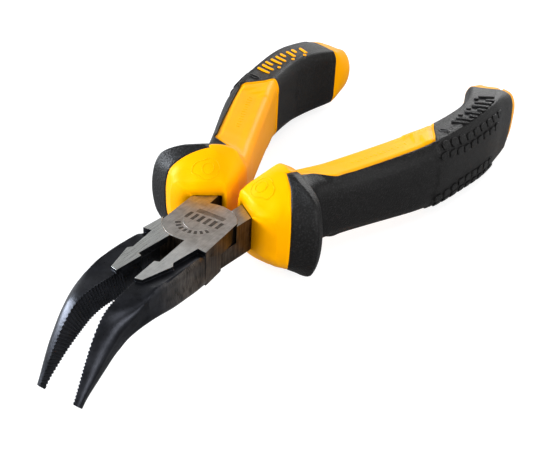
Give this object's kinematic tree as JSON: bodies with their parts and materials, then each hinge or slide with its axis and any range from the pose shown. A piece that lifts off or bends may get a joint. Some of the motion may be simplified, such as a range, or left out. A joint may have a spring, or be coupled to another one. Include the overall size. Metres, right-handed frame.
{
  "type": "bent needle nose pliers",
  "caption": "Bent needle nose pliers with a lap joint on a flush rivet, serrated down-turned jaws and two-component grips with finger guards.",
  "frame": {"origin": "pivot axis at the upper ground face of the joint", "axes": "+Z along the pivot axis, away from the side the nose bends to; -X along the jaws, +X along the handles; lever a's jaw is on -Y"},
  "size_m": [0.1678, 0.0772, 0.0271],
  "materials": {
    "forged_steel": "black oxide forging with satin ground joint faces and arrows",
    "rivet_steel": "ground flush with the joint faces",
    "grip_core": "satin yellow hard plastic",
    "grip_overmould": "fine-grained black soft plastic, smooth finger guard"
  },
  "bodies": {
    "half_a": {"lever_a": "forged_steel", "pivot_rivet": "rivet_steel", "core_a": "grip_core", "overmould_a": "grip_overmould"},
    "half_b": {"lever_b": "forged_steel", "core_b": "grip_core", "overmould_b": "grip_overmould"}
  },
  "joints": [
    {"name": "pivot", "type": "hinge", "parent": "half_a", "child": "half_b", "pos_m": [0, 0, 0], "axis": [0, 0, -1], "range_deg": [-10.5, 26]}
  ]
}
